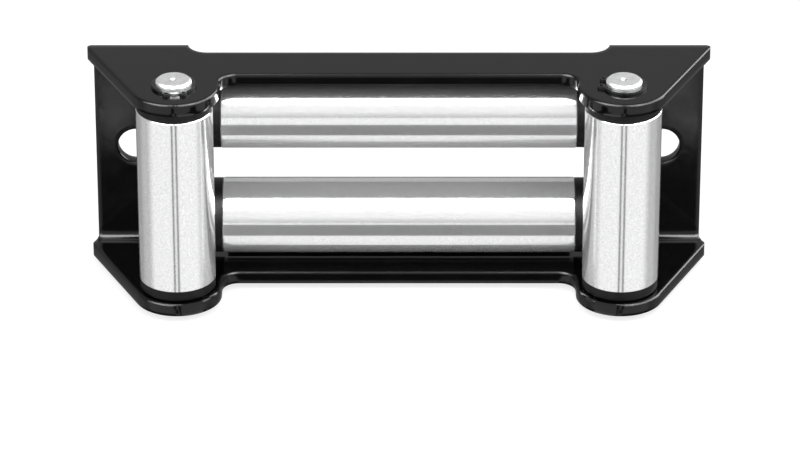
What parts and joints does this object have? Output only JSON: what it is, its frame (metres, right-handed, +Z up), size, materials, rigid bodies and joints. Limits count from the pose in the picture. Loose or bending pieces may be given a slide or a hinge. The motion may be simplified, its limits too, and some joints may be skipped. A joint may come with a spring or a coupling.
{
  "type": "roller fairlead",
  "caption": "Winch rope guide: a bent black steel frame with a window, holding upright and level steel rollers that turn on clipped pins and lead the rope from any side.",
  "frame": {"origin": "midway between the two mounting holes, on the mounting face", "axes": "+X along the level rollers and the longest side, +Y out of the mounting face at the back, +Z up along the upright rollers"},
  "size_m": [0.298, 0.0762, 0.119],
  "materials": {
    "black_paint": "glossy black powder coat",
    "roller_steel": "bright zinc plated steel with a fine grain",
    "bushing_plastic": "dark nylon, satin",
    "pin_plating": "bright zinc plating",
    "clip_steel": "black oxide spring steel"
  },
  "bodies": {
    "base": {"frame": "black_paint", "left_pin": "pin_plating", "right_pin": "pin_plating", "upper_pin": "pin_plating", "lower_pin": "pin_plating", "left_pin_top_clip": "clip_steel", "left_pin_bottom_clip": "clip_steel", "right_pin_top_clip": "clip_steel", "right_pin_bottom_clip": "clip_steel", "upper_pin_left_clip": "clip_steel", "upper_pin_right_clip": "clip_steel", "lower_pin_left_clip": "clip_steel", "lower_pin_right_clip": "clip_steel"},
    "left_roller_set": {"left_roller": "roller_steel", "left_roller_top_bushing": "bushing_plastic", "left_roller_bottom_bushing": "bushing_plastic"},
    "right_roller_set": {"right_roller": "roller_steel", "right_roller_top_bushing": "bushing_plastic", "right_roller_bottom_bushing": "bushing_plastic"},
    "upper_roller_set": {"upper_roller": "roller_steel", "upper_roller_left_bushing": "bushing_plastic", "upper_roller_right_bushing": "bushing_plastic"},
    "lower_roller_set": {"lower_roller": "roller_steel", "lower_roller_left_bushing": "bushing_plastic", "lower_roller_right_bushing": "bushing_plastic"}
  },
  "joints": [
    {"name": "left_roller_spin", "type": "hinge", "parent": "base", "child": "left_roller_set", "pos_m": [-0.106, -0.05523, 0], "axis": [0, 0, 1], "continuous": true},
    {"name": "right_roller_spin", "type": "hinge", "parent": "base", "child": "right_roller_set", "pos_m": [0.106, -0.05523, 0], "axis": [0, 0, 1], "continuous": true},
    {"name": "upper_roller_spin", "type": "hinge", "parent": "base", "child": "upper_roller_set", "pos_m": [0, -0.024, 0.02825], "axis": [1, 0, 0], "continuous": true},
    {"name": "lower_roller_spin", "type": "hinge", "parent": "base", "child": "lower_roller_set", "pos_m": [0, -0.024, -0.02825], "axis": [1, 0, 0], "continuous": true}
  ]
}
